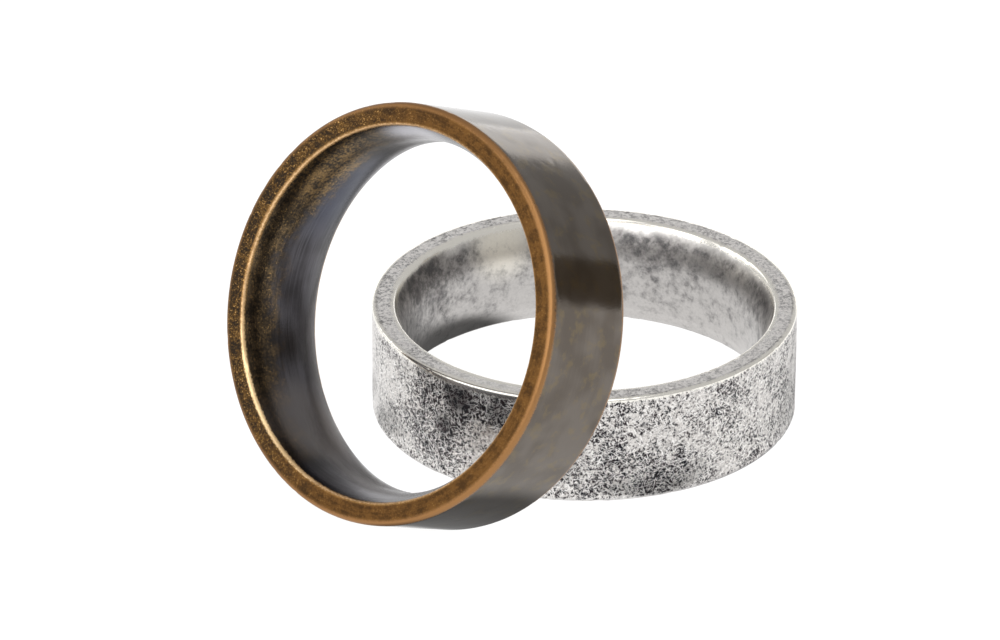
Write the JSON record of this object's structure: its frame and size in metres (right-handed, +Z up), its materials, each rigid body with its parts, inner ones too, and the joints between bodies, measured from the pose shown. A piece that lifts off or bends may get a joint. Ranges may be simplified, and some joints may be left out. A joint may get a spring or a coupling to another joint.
{
  "type": "pair of plain band rings",
  "caption": "Antique silver band ring lying flat, with a slightly smaller antique brass band ring standing beside it and leaning over it.",
  "frame": {"origin": "middle of the silver ring's bore, half the band's width above the surface that both rings rest on", "axes": "+Z up along the silver ring's axis, -Y towards the viewer, +X to the viewer's right"},
  "size_m": [0.03, 0.033, 0.0221],
  "materials": {
    "antique_silver": "tumbled antique silver with dark speckle",
    "antique_brass": "dark antique brass, polished on its edges"
  },
  "bodies": {
    "silver": {"silver_ring": "antique_silver"},
    "brass": {"brass_ring": "antique_brass"}
  },
  "joints": [
    {"name": "brass_lift", "type": "slide", "parent": "silver", "child": "brass", "axis": [-0.624, -0.6692, 0.4035], "range_m": [0, 0.03]}
  ]
}
